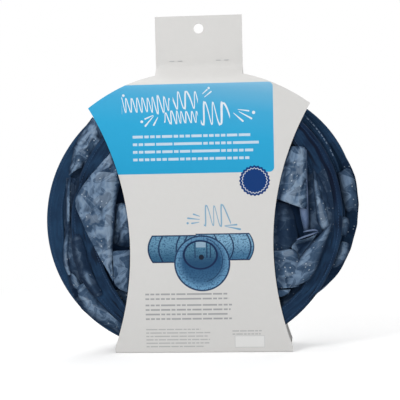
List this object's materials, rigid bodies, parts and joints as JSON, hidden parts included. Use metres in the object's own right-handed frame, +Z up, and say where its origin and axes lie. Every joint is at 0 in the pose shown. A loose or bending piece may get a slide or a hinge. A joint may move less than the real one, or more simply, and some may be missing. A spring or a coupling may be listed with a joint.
{
  "type": "cat tunnel",
  "caption": "Sprung cloth tunnel with three arms, pressed flat into a stack of wire hoops and held in a folded, stapled card sleeve with a hang hole.",
  "frame": {"origin": "middle of the card spine's underside, which the pack stands on, under the middle of the whole part", "axes": "+Z up toward the hang hole, +X to the viewer's right as the pictured face is seen, -Y out of the pictured face"},
  "size_m": [0.2992, 0.05, 0.3225],
  "materials": {
    "card": "semi-matt coated board, printed",
    "staple_wire": "zinc plated wire",
    "spring_wire": "drawn spring wire",
    "tape": "plain woven navy tape",
    "printed_cloth": "printed polyester, tone on tone blue",
    "plush": "short pile"
  },
  "bodies": {
    "sleeve": {"card_sleeve": "card", "staple_left": "staple_wire", "staple_right": "staple_wire"},
    "front_mouth": {"front_mouth_wire": "spring_wire", "front_mouth_casing": "tape", "front_outer_cloth": "printed_cloth"},
    "front_middle": {"front_middle_wire": "spring_wire", "front_middle_casing": "tape", "front_inner_cloth": "printed_cloth"},
    "front_hub": {"front_hub_wire": "spring_wire", "front_hub_casing": "tape", "hub_cloth": "printed_cloth"},
    "left_hub": {"left_hub_wire": "spring_wire", "left_hub_casing": "tape", "left_inner_cloth": "printed_cloth"},
    "left_middle": {"left_middle_wire": "spring_wire", "left_middle_casing": "tape", "left_outer_cloth": "printed_cloth", "hub_side_cloth": "printed_cloth", "toy_ball": "plush"},
    "left_mouth": {"left_mouth_wire": "spring_wire", "left_mouth_casing": "tape"},
    "right_mouth": {"right_mouth_wire": "spring_wire", "right_mouth_casing": "tape", "right_outer_cloth": "printed_cloth"},
    "right_middle": {"right_middle_wire": "spring_wire", "right_middle_casing": "tape", "right_inner_cloth": "printed_cloth"},
    "right_hub": {"right_hub_wire": "spring_wire", "right_hub_casing": "tape"}
  },
  "joints": [
    {"name": "pack_slide", "type": "slide", "parent": "sleeve", "child": "left_middle", "axis": [1, 0, 0], "range_m": [-0.26, 0.26]},
    {"name": "press_left_hub", "type": "slide", "parent": "left_middle", "child": "left_hub", "axis": [0, 1, 0], "range_m": [0, 0.0012], "stiffness_N_per_m": 800, "deforming": ["left_inner_cloth"]},
    {"name": "press_front_hub", "type": "slide", "parent": "left_hub", "child": "front_hub", "axis": [0, 1, 0], "range_m": [0, 0.0012], "deforming": ["hub_cloth", "hub_side_cloth"]},
    {"name": "press_front_middle", "type": "slide", "parent": "front_hub", "child": "front_middle", "axis": [0, 1, 0], "range_m": [0, 0.0012], "deforming": ["front_inner_cloth"]},
    {"name": "press_front_mouth", "type": "slide", "parent": "front_middle", "child": "front_mouth", "axis": [0, 1, 0], "range_m": [0, 0.0012], "deforming": ["front_outer_cloth"]},
    {"name": "press_left_mouth", "type": "slide", "parent": "left_middle", "child": "left_mouth", "axis": [0, -1, 0], "range_m": [0, 0.0012], "deforming": ["left_outer_cloth"]},
    {"name": "press_right_mouth", "type": "slide", "parent": "left_mouth", "child": "right_mouth", "axis": [0, -1, 0], "range_m": [0, 0.0012]},
    {"name": "press_right_middle", "type": "slide", "parent": "right_mouth", "child": "right_middle", "axis": [0, -1, 0], "range_m": [0, 0.0012], "deforming": ["right_outer_cloth"]},
    {"name": "press_right_hub", "type": "slide", "parent": "right_middle", "child": "right_hub", "axis": [0, -1, 0], "range_m": [0, 0.0012], "deforming": ["right_inner_cloth"]}
  ],
  "couplings": [
    {"joint": "press_front_hub", "follows": "press_left_hub", "ratio": 1},
    {"joint": "press_front_middle", "follows": "press_left_hub", "ratio": 1},
    {"joint": "press_front_mouth", "follows": "press_left_hub", "ratio": 1},
    {"joint": "press_left_mouth", "follows": "press_left_hub", "ratio": 1},
    {"joint": "press_right_mouth", "follows": "press_left_hub", "ratio": 1},
    {"joint": "press_right_middle", "follows": "press_left_hub", "ratio": 1},
    {"joint": "press_right_hub", "follows": "press_left_hub", "ratio": 1}
  ]
}
